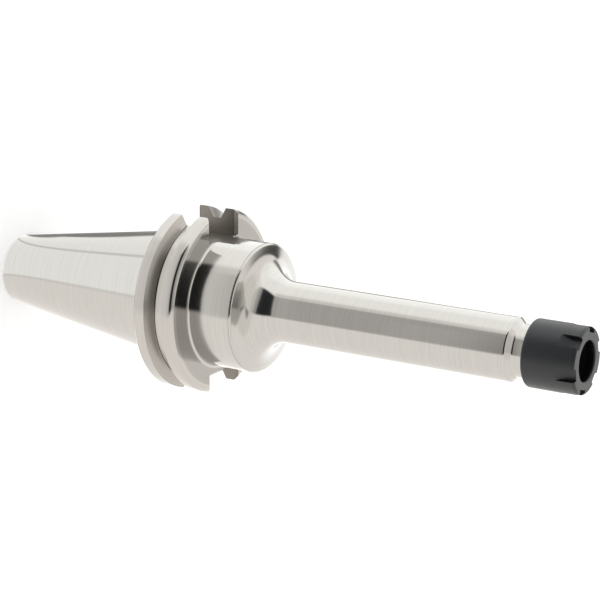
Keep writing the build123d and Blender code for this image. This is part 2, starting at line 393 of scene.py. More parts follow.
def solid_mesh(name, parts, materials):
    """One closed mesh from grids of points in millimetres, each with its material's number. Seams
    are merged, faces turned outwards, and edges over the sharp angle kept sharp."""
    corners, quads, slots, base = [], [], [], 0
    for grid, number in parts:
        n, m = grid.shape[:2]
        index = np.arange(n * m).reshape(n, m) + base
        quad = np.stack([index[:-1, :-1], index[:-1, 1:], index[1:, 1:], index[1:, :-1]], -1).reshape(-1, 4)
        corners.append(grid.reshape(-1, 3))
        quads.append(quad)
        slots.append(np.full(len(quad), number))
        base += n * m
    corners, quads, slots = np.concatenate(corners) * MM, np.concatenate(quads), np.concatenate(slots)
    mesh = bpy.data.meshes.new(name)
    mesh.vertices.add(len(corners))
    mesh.vertices.foreach_set("co", corners.ravel())
    mesh.loops.add(quads.size)
    mesh.loops.foreach_set("vertex_index", quads.ravel())
    mesh.polygons.add(len(quads))
    mesh.polygons.foreach_set("loop_start", np.arange(0, quads.size, 4))
    for material in materials:
        mesh.materials.append(material)
    mesh.polygons.foreach_set("material_index", slots)
    mesh.update(calc_edges=True)
    work = bmesh.new()
    work.from_mesh(mesh)
    bmesh.ops.remove_doubles(work, verts=work.verts, dist=MERGE_DISTANCE)
    bmesh.ops.dissolve_degenerate(work, edges=work.edges, dist=MERGE_DISTANCE)
    bmesh.ops.recalc_face_normals(work, faces=work.faces)
    work.to_mesh(mesh)
    work.free()
    mesh.shade_smooth()
    mesh.set_sharp_from_angle(angle=SHARP_ANGLE)
    return mesh


def placed(name, data):
    """A new object in the scene, at the origin and unturned."""
    made = bpy.data.objects.new(name, data)
    bpy.context.scene.collection.objects.link(made)
    return made


def piece(name, parts, materials, body, node):
    """A finished piece in the scene: it stands for a CAD node and rides on its body."""
    made = placed(name, solid_mesh(name, parts, materials))
    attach(made, body)
    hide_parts(node)


# The holder's outline

def drill_end(radius, tip):
    """Length of a drilled hole's cone: the difference of its radii over the tangent of its angle."""
    return (radius - tip) / math.tan(DRILL_ANGLE)


def taper_rows(s):
    """From the pilot bore's edge over the small end, up the cone and through the undercut."""
    end_radius = s.gauge_radius - s.taper_length * s.taper_slope
    bottom = -s.taper_length
    near = 0.4  # a row close under the gauge plane keeps the cone's shading straight
    return eased([
        (s.pilot_radius, bottom),
        (end_radius - s.end_chamfer, bottom),
        (end_radius + s.end_chamfer * s.taper_slope, bottom + s.end_chamfer),
        (s.gauge_radius - near * s.taper_slope, -near),
        (s.gauge_radius, 0),
        (s.gauge_radius, s.relief_start),
        (s.gauge_radius - s.relief_depth, s.relief_start + s.relief_depth),
        (s.gauge_radius - s.relief_depth, s.flange_rear),
    ], s.edge_round)


def face_radii(s):
    """Radii of the rows that a flange face shares with the key slots' floors and walls."""
    floor = s.shallow_floor - s.slot_chamfer
    deep, shallow = (math.hypot(s.slot_half_width + s.slot_chamfer, level) for level in (s.deep_floor, floor))
    return [*(s.deep_floor + step for step in DEEP_ROWS), deep, *(floor + step for step in SHALLOW_ROWS),
            *(shallow + step for step in OUTER_ROWS)]


def flange_rows(s):
    """The flange: rear face, land, V-groove, land and front face, with a row wherever a key slot's
    edge turns."""
    half_bottom = s.groove_bottom / 2
    half_top = half_bottom + (s.flange_radius - s.groove_radius) * math.tan(s.groove_flank)
    radii = np.array(face_radii(s))
    rear = rows(*[(r, s.flange_rear) for r in radii])
    front = rows(*[(r, s.flange_front) for r in radii[::-1] if r > s.gauge_radius + s.root_fillet])
    rim = eased([
        tuple(rear[-1]),
        (s.flange_radius - s.rear_chamfer, s.flange_rear),
        (s.flange_radius, s.flange_rear + s.rear_chamfer),
        (s.flange_radius, s.groove_centre - half_top),
        (s.groove_radius, s.groove_centre - half_bottom),
        (s.groove_radius, s.groove_centre + half_bottom),
        (s.flange_radius, s.groove_centre + half_top),
        (s.flange_radius, s.flange_front - s.front_chamfer),
        (s.flange_radius - s.front_chamfer_depth, s.flange_front),
        tuple(front[0]),
    ], [s.edge_round] * 3 + [s.groove_round] * 2 + [s.edge_round, s.land_round, s.front_round])
    for level in (s.flange_rear + s.slot_chamfer, s.flange_front - s.slot_chamfer):
        after = int(np.searchsorted(rim[:, 1], level))
        low, high = rim[after - 1], rim[after]
        share = (level - low[1]) / (high[1] - low[1])
        rim = np.insert(rim, after, low + share * (high - low), axis=0)
    return rear, rim[1:-1], front


def body_rows(s):
    """The root fillet, the body, the shoulder's round and the flare, with rows round the cutter's mark."""
    root = (s.gauge_radius + s.root_fillet, s.flange_front + s.root_fillet)
    mark = math.sqrt(s.gauge_radius ** 2 - s.deep_floor ** 2)
    turn = np.linspace(math.asin(mark / s.slot_half_width), 0, MARK_ROWS)
    levels = s.flange_front + s.slot_half_width * np.cos(turn)
    tilt = math.radians(90) - s.shoulder_tilt
    flare = (s.shank_radius + s.flare, s.flare_end)
    edge = s.gauge_radius - s.shoulder_step - s.shoulder_round
    reach = (flare[0] - edge) * math.cos(tilt) + s.flare_end * math.sin(tilt) - s.flare - s.shoulder_round
    shoulder = (edge, reach / math.sin(tilt))
    return np.concatenate([
        bend(root, s.root_fillet, 270, 180),
        rows(*[(s.gauge_radius, z) for z in levels], (s.gauge_radius, shoulder[1])),
        bend(shoulder, s.shoulder_round, 0, math.degrees(tilt), step=6.0),
        bend(flare, s.flare, 180 + math.degrees(tilt), 180, step=3.0),
    ])


def nose_rows(s):
    """The shank, its end cone, the neck, the threaded nose and the way down through the bores."""
    pocket = (s.pocket_mouth - s.pocket_bore_radius) / math.tan(s.pocket_angle)
    mouth = s.nose_end - s.pocket_chamfer
    hole_end = -s.taper_length + s.drawbar_depth
    past_flare = 1.0
    return np.concatenate([eased([
        (s.shank_radius, s.flare_end + past_flare),
        (s.shank_radius, s.shank_end),
        (s.neck_radius, s.shank_end + s.shank_radius - s.neck_radius),
        (s.neck_radius, s.nose_start),
        (s.nose_radius, s.nose_start + s.nose_radius - s.neck_radius),
        (s.nose_radius, s.nose_end - s.nose_chamfer),
        (s.nose_radius - s.nose_chamfer, s.nose_end),
        (s.pocket_mouth + s.pocket_chamfer, s.nose_end),
        (s.pocket_mouth - s.pocket_chamfer * math.tan(s.pocket_angle), mouth),
        (s.pocket_bore_radius, s.nose_end - pocket),
        (s.pocket_bore_radius, s.stop_bore_top),
    ], [s.shank_round] * 2 + [s.edge_round] * 7), rows(
        (s.stop_bore_radius, s.stop_bore_top),
        (s.stop_bore_radius, s.stop_bore_bottom + drill_end(s.stop_bore_radius, s.coolant_radius)),
        (s.coolant_radius, s.stop_bore_bottom),
        (s.coolant_radius, hole_end + drill_end(s.drawbar_radius, s.coolant_radius)),
        (s.drawbar_radius, hole_end),
    )])


def key_slot(s, angle, outline, floor, floor_chamfer=0.0, mark=False):
    """A key slot: its half width and depth grow by the chamfer over the last of each mouth, the depth
    by floor_chamfer times as much. With mark, the cutter's round end goes on past the front face,
    where half its width is the root of its radius squared less the way from that face squared."""
    z = outline[:, 1]
    mouth = np.maximum(s.flange_rear + s.slot_chamfer - z, z - (s.flange_front - s.slot_chamfer))
    mouth = np.clip(mouth, 0, s.slot_chamfer)
    beyond = np.sqrt(np.maximum(s.slot_half_width ** 2 - (z - s.flange_front) ** 2, 0))
    in_flange = (z >= s.flange_rear - TOUCH) & (z <= s.flange_front + TOUCH)
    half = np.where(in_flange, s.slot_half_width + mouth, beyond if mark else 0.0)
    reach = in_flange | (mark & (z > s.flange_front) & (z < s.body_end))
    return Slot(angle, np.where(reach, floor - floor_chamfer * mouth, np.inf), half)


def slot_faces(slot, outline, rear, front):
    """A key slot's floor and walls between the flange's faces, cut where the faces' rows meet them.
    rear and front are the rows of the two faces, from the axis outwards and back. Fewer rows meet the
    front of a deep floor than its rear, so even shares make up their number. Returns the surfaces, and
    the shares at the floor's front."""
    edge = slot.edge(outline)
    a, b = rear[-1], front[0]
    span = np.arange(a, b + 1)
    half, floor, z = slot.half[span], slot.floor[span], outline[span, 1]
    top = np.sqrt(outline[span, 0] ** 2 - edge[span] ** 2)
    faces = []

    def shares(indices, on_floor):
        """Where the rows of a face cut the floor, from its middle, or a wall, from its foot."""
        r = outline[indices, 0]
        half, floor = slot.half[indices[0]], slot.floor[indices[0]]
        corner = math.hypot(half, floor)
        if on_floor:
            keep = (r >= floor - TOUCH) & (r <= corner + TOUCH)
            return np.sort(np.sqrt(np.maximum(r[keep] ** 2 - floor ** 2, 0))) / half
        up = np.sort(np.sqrt(r[r >= corner - TOUCH] ** 2 - half ** 2))
        return (up - up[0]) / (up[-1] - up[0])

    for side in (-1, 1):
        low = slot.place(side * half, floor, z)
        high = slot.place(side * half, top, z)
        faces.append(ruled(low, high, shares(rear, False), shares(front, False)))
    near, far = shares(rear, True), shares(front, True)
    inner = far[0] * np.linspace(0, 1, len(near) - len(far) + 1)[:-1]
    far = np.concatenate([inner, far])
    left, right = slot.place(-half, floor, z), slot.place(half, floor, z)
    faces.append(ruled(left, right, two_sided(near), two_sided(far)))
    return faces, far


def two_sided(half_shares):
    """Shares from 0 to 1 across a whole floor, from shares that go from its middle to its edge."""
    return np.concatenate([(1 - half_shares[::-1]) / 2, (1 + half_shares[1:]) / 2])


def cutter_mark(s, slot, outline, first, far):
    """The flat that the cutter's round end leaves on the body past the front face, and the low step
    round its end: the flat lies at the slot's floor, and the step rises from it to the body."""
    edge = slot.edge(outline)
    last = int(np.flatnonzero(edge[first:] > TOUCH)[-1]) + first + 1
    span = np.arange(first, last + 1)
    half, floor, z = edge[span], slot.floor[span], outline[span, 1]
    floor = np.where(np.isfinite(floor), floor, s.deep_floor)
    inner = far[far * slot.half[first] <= half[0] + TOUCH]
    across = two_sided(inner / inner[-1])
    top = np.sqrt(outline[span, 0] ** 2 - half ** 2)
    step = top > floor + TOUCH
    step[max(int(np.argmax(step)) - 1, 0)] = True
    surfaces = [ruled(slot.place(-half, floor, z), slot.place(half, floor, z), across, across)]
    for side in (-1, 1):
        low, high = slot.place(side * half, floor, z), slot.place(side * half, top, z)
        surfaces.append(ruled(low[step], high[step], (0, 1), (0, 1)))
    return surfaces


def holder_parts(s):
    """Every surface of the holder's body, each with its finish's number."""
    rear, rim, front = flange_rows(s)
    taper, body, nose = taper_rows(s), body_rows(s), nose_rows(s)
    bottom = -s.taper_length
    pilot = rows((s.drawbar_radius, bottom + s.pilot_depth), (s.pilot_radius, bottom + s.pilot_depth))
    outline = np.concatenate([pilot, taper, rear, rim, front, body, nose])
    ends = np.cumsum([len(part) for part in (pilot, taper, rear, rim, front)])
    deep = key_slot(s, math.pi / 2, outline, s.deep_floor, mark=True)
    shallow = key_slot(s, -math.pi / 2, outline, s.shallow_floor, floor_chamfer=1.0)
    ground, turned, milled, bored, faced_and_shaded, grooved_and_shaded, painted_corner_shade = range(7)
    finish = np.full(len(outline) - 1, ground)
    finish[:ends[0]] = bored
    finish[ends[1] - 1:ends[4]] = turned
    # The front face gets the darker faced steel, which paints its shade.
    finish[ends[3]:ends[4] - 1] = faced_and_shaded
    middle = (outline[:-1] + outline[1:]) / 2
    from_centre = abs(middle[:, 1] - s.groove_centre)
    in_groove = (middle[:, 0] > s.groove_radius - TOUCH) & (middle[:, 0] < s.flange_radius - s.edge_round)
    # The groove's flanks get the darker grooved steel, which paints their shade.
    finish[in_groove & (from_centre > s.groove_bottom / 2) & (from_centre < s.groove_bottom)] = grooved_and_shaded
    # Painted shade: the rows in the groove's rear corner get the darkest steel, a dark line.
    corner = np.array([s.groove_radius, s.groove_centre - s.groove_bottom / 2])
    finish[(abs(middle - corner) < s.groove_round * np.array(SHADE_LINE_REACH)).all(1)] = painted_corner_shade
    inside = np.flatnonzero((outline[:-1, 1] >= s.nose_end - TOUCH) & (outline[:-1, 0] < s.nose_radius))[1]
    finish[inside:] = bored
    parts = []
    for grid in slotted_ring(outline, [deep, shallow], SECTOR_COLUMNS):
        cuts = np.flatnonzero(np.diff(finish)) + 1
        for begin, end in zip([0, *cuts], [*cuts, len(finish)]):
            parts.append((grid[begin:end + 1], int(finish[begin])))
    rear_rows = np.arange(ends[1], ends[3])
    rear_rows = rear_rows[outline[rear_rows, 1] <= s.flange_rear + TOUCH]
    front_rows = np.arange(ends[2], ends[4] + 1)
    front_rows = front_rows[outline[front_rows, 1] >= s.flange_front - TOUCH]
    deep_faces, far = slot_faces(deep, outline, rear_rows, front_rows)
    shallow_faces, _ = slot_faces(shallow, outline, rear_rows, front_rows)
    mark = cutter_mark(s, deep, outline, int(front_rows[-1]), far)
    parts += [(grid, milled) for grid in [*deep_faces, *mark, *shallow_faces]]
    thread = helix_wall(s.drawbar_radius, bottom + s.pilot_depth, bottom + s.drawbar_depth, s.drawbar_pitch,
                        s.drawbar_thread, -math.pi / 2, SECTOR_COLUMNS)
    parts.append((thread, bored))
    return parts


# The nut and the stop screw

def nut_parts(s):
    """Every surface of the clamping nut: a closed outline turned round the axis, cut by spanner slots.
    A slot's floor runs out on the arc of a cutting wheel: its height over the floor at the face is the
    wheel's radius less the root of that radius squared less the way from the face squared."""
    seat_top = s.face - s.opening_length
    seat_rise = (s.seat_radius - s.opening_radius) / math.tan(s.seat_angle)
    lip_end = s.lip_start + s.lip_length
    throat = s.entry_radius - s.thread_radius
    floor_front = s.radius - s.slot_depth
    wheel = (s.slot_length ** 2 + s.slot_depth ** 2) / (2 * s.slot_depth)
    corner = math.hypot(floor_front, s.slot_half_width)
    wall_out = math.sqrt(s.radius ** 2 - s.slot_half_width ** 2)
    ends = s.face - np.sqrt(wheel ** 2 - (floor_front + wheel - np.array([s.radius, wall_out])) ** 2)
    run_out = np.linspace(ends[0], ends[1], RUN_OUT_ROWS)
    along = np.linspace(ends[1], s.face - s.bevel_length - NUT_RIM_GAP, RUN_OUT_ROWS)[1:]
    rim = eased([
        (s.radius, along[-1]),
        (s.radius, s.face - s.bevel_length),
        (s.radius - s.bevel_depth, s.face),
        (corner + NUT_OUTER_ROWS[0], s.face),
    ], s.bevel_round)
    face = rows(*[(corner + step, s.face) for step in NUT_OUTER_ROWS[1:]],
                *[(floor_front + step, s.face) for step in NUT_FLOOR_ROWS])
    mouth = eased([
        (floor_front - NUT_INNER_ROW, s.face),
        (s.opening_radius + s.opening_chamfer, s.face),
        (s.opening_radius, s.face - s.opening_chamfer),
        (s.opening_radius, seat_top),
        (s.seat_radius, seat_top - seat_rise),
        (s.seat_radius, lip_end),
    ], s.edge_round)
    lip = rows((s.lip_radius, lip_end), (s.lip_radius, s.lip_start))
    bore = rows((s.entry_radius, s.lip_start), (s.entry_radius, s.thread_end),
                (s.thread_radius, s.thread_end - throat),
                (s.thread_radius, s.rear + s.entry_depth + throat),
                (s.entry_radius, s.rear + s.entry_depth), (s.entry_radius, s.rear))
    outline = np.concatenate([
        rows((s.entry_radius, s.rear)),
        bend((s.radius - s.rear_round, s.rear + s.rear_round), s.rear_round, 270, 360),
        rows(*[(s.radius, z) for z in (*run_out, *along)]),
        rim[1:], face, mouth, lip, bore])
    r, z = outline.T
    outer = np.arange(len(outline)) < len(outline) - len(bore) - len(lip) - len(mouth)
    wave = np.sqrt(np.maximum(wheel ** 2 - (s.face - z) ** 2, 0))
    floor = np.where(outer & (z >= ends[0] - TOUCH), floor_front + wheel - wave, np.inf)
    lips = np.isclose(r, s.lip_radius) & (z < lip_end + TOUCH)

    def radius(outline, angle):
        """The outline's own radius, or on the lip the far side of a circle that stands off the axis."""
        off = s.lip_offset * np.cos(angle) + np.sqrt(s.lip_radius ** 2 - (s.lip_offset * np.sin(angle)) ** 2)
        return np.where(lips[:, None], off, outline[:, :1])

    half = np.full(len(outline), s.slot_half_width)
    slots = [Slot(s.slot_angle + TURN * k / s.slot_count, floor, half) for k in range(s.slot_count)]
    parts = [(grid, 0) for grid in slotted_ring(outline, slots, SECTOR_COLUMNS, radius)]
    edge = slots[0].edge(outline)
    first = int(np.flatnonzero(edge > TOUCH)[0]) - 1
    front = int(np.flatnonzero(outer & (z >= s.face - TOUCH))[0])
    radii = r[front:np.flatnonzero(outer)[-1] + 1]
    across = np.sort(np.sqrt(np.maximum(radii[radii <= corner + TOUCH] ** 2 - floor_front ** 2, 0)))
    up = np.sort(np.sqrt(radii[radii >= corner - TOUCH] ** 2 - s.slot_half_width ** 2))
    across, up = two_sided(across / across[-1]), (up - up[0]) / (up[-1] - up[0])
    span = np.arange(first, front + 1)
    walls = span[edge[span] >= s.slot_half_width - TOUCH]
    depth = np.where(np.isfinite(floor[span]), floor[span], s.radius)
    top = np.sqrt(r[walls] ** 2 - s.slot_half_width ** 2)
    for slot in slots:
        left, right = slot.place(-edge[span], depth, z[span]), slot.place(edge[span], depth, z[span])
        parts.append((ruled(left, right, across, across), 0))
        for side in (-s.slot_half_width, s.slot_half_width):
            low, high = slot.place(side, floor[walls], z[walls]), slot.place(side, top, z[walls])
            parts.append((ruled(low, high, up, up), 0))
    return parts


def screw_parts(s):
    """Every surface of the stop screw: a threaded wall, and a closed outline turned round the axis with
    chamfered ends, a hexagon socket and a coolant hole."""
    low, high = s.bottom + s.chamfer, s.top - s.chamfer
    floor = s.top - s.socket_depth
    tip = floor - drill_end(s.socket_half_width, s.coolant_radius)
    closed = rows((s.radius, high), (s.radius - s.chamfer, s.top), (s.socket_half_width, s.top),
                  (s.socket_half_width, floor), (s.coolant_radius, tip), (s.coolant_radius, s.bottom),
                  (s.radius - s.chamfer, s.bottom), (s.radius, low))
    hexagon = np.isclose(closed[:, 0], s.socket_half_width)

    def radius(outline, angle):
        """The outline's own radius, or in the socket half the width across flats over the cosine of
        the angle from the middle of the flat."""
        flat = (angle + math.pi / 6) % (math.pi / 3) - math.pi / 6
        return np.where(hexagon[:, None], s.socket_half_width / np.cos(flat), outline[:, :1])

    ring = ring_part(closed, 0.0, TURN, SCREW_COLUMNS, radius)
    wall = helix_wall(s.radius, low, high, s.pitch, -s.thread_depth, 0.0, SCREW_COLUMNS)
    return [(ring, 0), (wall, 0)]


# Materials. Machining marks are too fine for a render in which a pixel is about 0.35 mm: ground ones stand
# some 0.02 mm apart, and turned, milled and bored ones 0.1 to 0.2 mm. So they are drawn 0.3 to 0.5 mm apart
# and at most 0.001 mm deep: the eye gets a faint grain across each reflection, not lines to count.

def add(tree, kind, inputs=(), **settings):
    """Adds a node with its settings; each input is a value, or a socket to link it to."""
    node = tree.nodes.new(kind)
    for key, value in settings.items():
        setattr(node, key, value)
    for key, value in dict(inputs).items():
        if isinstance(value, bpy.types.NodeSocket):
            tree.links.new(value, node.inputs[key])
        else:
            node.inputs[key].default_value = value
    return node


def turning_marks(tree, spacing, wander=0.02):
    """Noise in rings round the axis: it reads the distance from the axis and the height, in which one
    cell is the marks' spacing in millimetres, and drifts slowly with the place round the axis. wander
    is the share of that place which it reads."""
    place = add(tree, "ShaderNodeTexCoord").outputs["Object"]
    flat = add(tree, "ShaderNodeVectorMath", {0: place, 1: (1, 1, 0)}, operation="MULTIPLY")
    distance = add(tree, "ShaderNodeVectorMath", {0: flat.outputs[0]}, operation="LENGTH")
    apart = add(tree, "ShaderNodeSeparateXYZ", {0: place})
    rings = add(tree, "ShaderNodeCombineXYZ", {"X": distance.outputs["Value"], "Z": apart.outputs["Z"]})
    drift = add(tree, "ShaderNodeVectorMath", {0: flat.outputs[0], "Scale": wander}, operation="SCALE")
    both = add(tree, "ShaderNodeVectorMath", {0: rings.outputs[0], 1: drift.outputs[0]}, operation="ADD")
    return add(tree, "ShaderNodeTexNoise", {"Vector": both.outputs[0], "Scale": 1 / (spacing * MM),
                                            "Detail": 2.0, "Roughness": 0.5})


def round_the_axis(tree):
    """Direction of the turning marks, in world space: across the place's own direction off the axis."""
    place = add(tree, "ShaderNodeSeparateXYZ", {0: add(tree, "ShaderNodeTexCoord").outputs["Object"]})
    back = add(tree, "ShaderNodeMath", {0: place.outputs["Y"], 1: -1.0}, operation="MULTIPLY")
    round_axis = add(tree, "ShaderNodeCombineXYZ", {"X": back.outputs[0], "Y": place.outputs["X"]})
    world = add(tree, "ShaderNodeVectorTransform", {"Vector": round_axis.outputs[0]}, vector_type="VECTOR",
                convert_from="OBJECT", convert_to="WORLD")
    return add(tree, "ShaderNodeVectorMath", {0: world.outputs[0]}, operation="NORMALIZE").outputs[0]


def principled(name):
    """A new material, its node tree and its shader."""
    material = bpy.data.materials.new(name)
    material.use_nodes = True
    return material, material.node_tree, material.node_tree.nodes["Principled BSDF"]


def marked(tree, shader, spacing, depth, roughness, change):
    """Machining marks in a shader's roughness, which goes from roughness less change to roughness plus
    change, and in its bump, depth millimetres deep. Returns the marks, from 0 to 1."""
    marks = turning_marks(tree, spacing).outputs["Fac"]
    rough = add(tree, "ShaderNodeMapRange", {"Value": marks, "To Min": roughness - change,
                                             "To Max": roughness + change})
    tree.links.new(rough.outputs[0], shader.inputs["Roughness"])
    bump = add(tree, "ShaderNodeBump", {"Height": marks, "Strength": 1.0, "Distance": depth * MM})
    tree.links.new(bump.outputs[0], shader.inputs["Normal"])
    return marks


def steel(name, colour, roughness, spacing, depth, change, drawn):
    """A bare steel whose machining marks run in rings round the axis. The rings spread a reflection
    across themselves and keep it sharp along themselves, the more so the higher drawn is. The marks
    also make the colour up to 4% darker or lighter."""
    material, tree, shader = principled(name)
    shader.inputs["Metallic"].default_value = 1.0
    shader.inputs["Anisotropic"].default_value = drawn
    shader.inputs["Anisotropic Rotation"].default_value = 0.25  # a quarter turn, so across the rings
    tree.links.new(round_the_axis(tree), shader.inputs["Tangent"])
    marks = marked(tree, shader, spacing, depth, roughness, change)
    tone = add(tree, "ShaderNodeMapRange", {"Value": marks, "From Min": 0.3, "From Max": 0.7,
                                            "To Min": 0.96, "To Max": 1.04})
    shade = add(tree, "ShaderNodeVectorMath", {0: colour, "Scale": tone.outputs[0]}, operation="SCALE")
    tree.links.new(shade.outputs[0], shader.inputs["Base Color"])
    return material


def holder_materials(look):
    """The holder's finishes, in the order of their numbers."""
    fine = {"spacing": 0.3, "depth": 0.0003, "change": 0.03, "drawn": 0.65}
    medium = {"spacing": 0.4, "depth": 0.0005, "change": 0.04, "drawn": 0.5}
    coarse = {"spacing": 0.5, "depth": 0.001, "change": 0.06, "drawn": 0.3}
    rough = {"spacing": 0.5, "depth": 0.0005, "change": 0.04, "drawn": 0.3}
    return [
        # Hardened and ground: nearly a mirror, with bands of light along the cone and the shank.
        steel("ground_alloy_steel", look.ground_steel, roughness=0.12, **fine),
        # Hardened and finish turned: as bright, a little warmer and softer at the bands' edges.
        steel("turned_alloy_steel", look.turned_steel, roughness=0.13, **fine),
        # End milled and left as cut: a dull brown grey without bands, so the slots stand out.
        steel("milled_alloy_steel", look.milled_steel, roughness=0.34, **coarse),
        # Drilled and bored: a dull grey that fades into the dark of the hole.
        steel("bored_alloy_steel", look.bored_steel, roughness=0.35, **coarse),
        # Faced across the axis: its rings turn a lamp into a fan of light, and its greyer colour is painted
        # shade.
        steel("front_face_shaded_steel", look.face_steel_with_painted_shade, roughness=0.13, **fine),
        # Cut with a form tool: a soft sheen on the groove's flanks, in a greyer colour that is painted shade.
        steel("groove_flank_shaded_steel", look.flank_steel_with_painted_shade, roughness=0.25, **medium),
        # Painted shade, rougher and much darker: a dark line at the groove's foot.
        steel("groove_corner_painted_shade", look.corner_shade_steel, roughness=0.35, **rough),
    ]


def black_oxide(name, colour):
    """Steel turned on a lathe and blackened in a hot bath, as on the nut and the stop screw. The thin
    oxide skin gives the eye a satin black that turns bluish grey where it is seen at a slant."""
    material, tree, shader = principled(name)
    shader.inputs["Base Color"].default_value = (*colour, 1.0)
    shader.inputs["IOR"].default_value = 1.57  # near that of the oil film on the skin
    shader.inputs["Specular Tint"].default_value = (0.93, 0.97, 1.0, 1.0)
    marked(tree, shader, spacing=0.4, depth=0.001, roughness=0.42, change=0.06)
    return material


# Operators

class HOLDER_OT_body(bpy.types.Operator):
    """Make the holder's body, from the taper to the threaded nose"""
    bl_idname = "collet_holder.body"
    bl_label = "Holder Body"

    def execute(self, context):
        scene = context.scene
        parts = holder_parts(in_millimetres(scene.holder_sizes))
        piece("holder_steel_body", parts, holder_materials(scene.holder_finishes),
              "holder", "holder_body")
        return {"FINISHED"}


class HOLDER_OT_nut(bpy.types.Operator):
    """Make the clamping nut with its spanner slots and extraction lip"""
    bl_idname = "collet_holder.nut"
    bl_label = "Clamping Nut"

    def execute(self, context):
        scene = context.scene
        parts = nut_parts(in_millimetres(scene.nut_sizes))
        black = black_oxide("black_oxide_steel", scene.holder_finishes.black_oxide)
        piece("black_clamping_nut", parts, [black], "nut", "clamping_nut")
        return {"FINISHED"}


class HOLDER_OT_screw(bpy.types.Operator):
    """Make the stop screw behind the collet"""
    bl_idname = "collet_holder.screw"
    bl_label = "Stop Screw"

    def execute(self, context):
        scene = context.scene
        parts = screw_parts(in_millimetres(scene.screw_sizes))
        black = black_oxide("black_oxide_screw_steel", scene.holder_finishes.black_oxide)
        piece("threaded_stop_screw", parts, [black], "stop", "stop_screw")
        return {"FINISHED"}


class HOLDER_OT_stage(bpy.types.Operator):
    """Make the floor, the white world, the light tent and the camera"""
    bl_idname = "collet_holder.stage"
    bl_label = "Stage"

    def execute(self, context):
        stage = context.scene.holder_stage
        make_floor(stage)
        make_light(context)
        make_tent()
        make_camera(context, stage)
        return {"FINISHED"}


def seen_as_background(tree):
    """1 for rays from the camera, from a reflection and through glass, and 0 for all others."""
    path = add(tree, "ShaderNodeLightPath")
    seen = add(tree, "ShaderNodeMath", {0: path.outputs["Is Camera Ray"], 1: path.outputs["Is Glossy Ray"]},
               operation="MAXIMUM")
    return add(tree, "ShaderNodeMath", {0: seen.outputs[0], 1: path.outputs["Is Transmission Ray"]},
               operation="MAXIMUM").outputs[0]


def make_floor(stage):
    """A wide level floor under the small end: four corners at one height. Its matt white paint glows a
    little where it is seen, so that it looks white and keeps the holder's shadow."""
    level = CAD_BOX[0][2] - FLOOR_GAP
    corners = [(x * FLOOR_HALF, y * FLOOR_HALF, level) for x, y in ((-1, -1), (1, -1), (1, 1), (-1, 1))]
    mesh = bpy.data.meshes.new("floor")
    mesh.from_pydata(corners, [], [(0, 1, 2, 3)])
    floor = placed("floor", mesh)
    material, tree, shader = principled("pale_floor")
    shader.inputs["Base Color"].default_value = (*stage.floor, 1.0)
    shader.inputs["Roughness"].default_value = 1.0
    glow = add(tree, "ShaderNodeMath", {0: seen_as_background(tree), 1: FLOOR_GLOW}, operation="MULTIPLY")
    shader.inputs["Emission Color"].default_value = (1, 1, 1, 1)
    tree.links.new(glow.outputs[0], shader.inputs["Emission Strength"])
    mesh.materials.append(material)
    floor.visible_glossy = False  # the tent's ground sheet stands in for it in reflections


def make_light(context):
    """A plain white world, which lights diffuse surfaces and is white where it is seen."""
    world = bpy.data.worlds.new("studio")
    context.scene.world = world
    world.use_nodes = True
    background = world.node_tree.nodes["Background"]
    background.inputs["Color"].default_value = (1, 1, 1, 1)
    seen = seen_as_background(world.node_tree)
    strength = add(world.node_tree, "ShaderNodeMath", {0: seen, 1: 1 - WORLD_LIGHT, 2: WORLD_LIGHT},
                   operation="MULTIPLY_ADD")
    world.node_tree.links.new(strength.outputs[0], background.inputs["Strength"])


# The light tent that the bright steel mirrors: plain paper with panels on it. Each has its corners in degrees
# of azimuth and elevation, how soft its edges are in degrees, and its brightness. Later panels cover earlier
# ones.
TENT_PAPER = "#CECAC6"
TENT_PANELS = (
    ("upper paper", ((-180, 57), (180, 57), (180, 95), (-180, 95)), 7, "#C1BEB9"),
    ("opening overhead", ((194, 71), (238, 71), (238, 88), (194, 88)), 4, "#7A7876"),
    ("side lamp", ((304, -95), (372, -95), (368, 26), (318, 18)), 24, "#E6E5E4"),
    ("large lamp", ((17, -60), (126, -60), (94, 44), (44, 48), (18, 34)), 8, "#DFDEDB"),
    ("lamp's brighter side", ((17, -60), (60, -60), (60, 26), (18, 26)), 10, "#E8E8E6"),
    ("lower paper", ((22, -95), (182, -95), (182, -48), (22, -48)), 5, "#DBDAD8"),
    ("seam by the lamp", ((99, -88), (104, -88), (107, -54), (102, -54)), 2, "#B6B8B5"),
    ("seam in front", ((178, -88), (183, -88), (183, -44), (178, -44)), 2, "#C2C0BD"),
    ("far gap", ((-8, -60), (15, -60), (14, -18), (-8, -18)), 7, "#A6A4A2"),
    ("gap's foot", ((-14, -82), (26, -82), (19, -36), (-12, -36)), 5, "#6C6B69"),
    ("gap's line", ((6, -60), (16, -60), (14, 22), (7, 22)), 4, "#747371"),
    ("gap's top", ((-9, 28), (0, 19), (5, 18), (-1, 44), (-9, 48)), 3, "#3A3A38"),
    ("gap near the foot", ((22, -95), (60, -95), (52, -66), (38, -50), (22, -50)), 5, "#6E6D6A"),
    ("gap at the foot", ((40, -80), (70, -86), (84, -86), (60, -77), (46, -74)), 3, "#6E6D6A"),
    ("lamp's edge", ((102, -42), (189, -42), (188, -10), (104, -10)), 12, "#C0BEBB"),
    ("shaded floor", ((116, -32), (190, -32), (188, -6), (117, -6)), 5, "#999794"),
    ("flag's haze", ((102, 30), (116, -14), (188, -15), (189, 72), (120, 68), (88, 50)), 10, "#B1AFAB"),
    ("flag's fringe", ((98, 34), (116, -13), (187, -14), (188, 60), (120, 52), (92, 43)), 6, "#8F8D8B"),
    ("dark flag", ((98, 36), (117, -9), (185, -10), (187, 47), (160, 46), (138, 42)), 5, "#222324"),
)


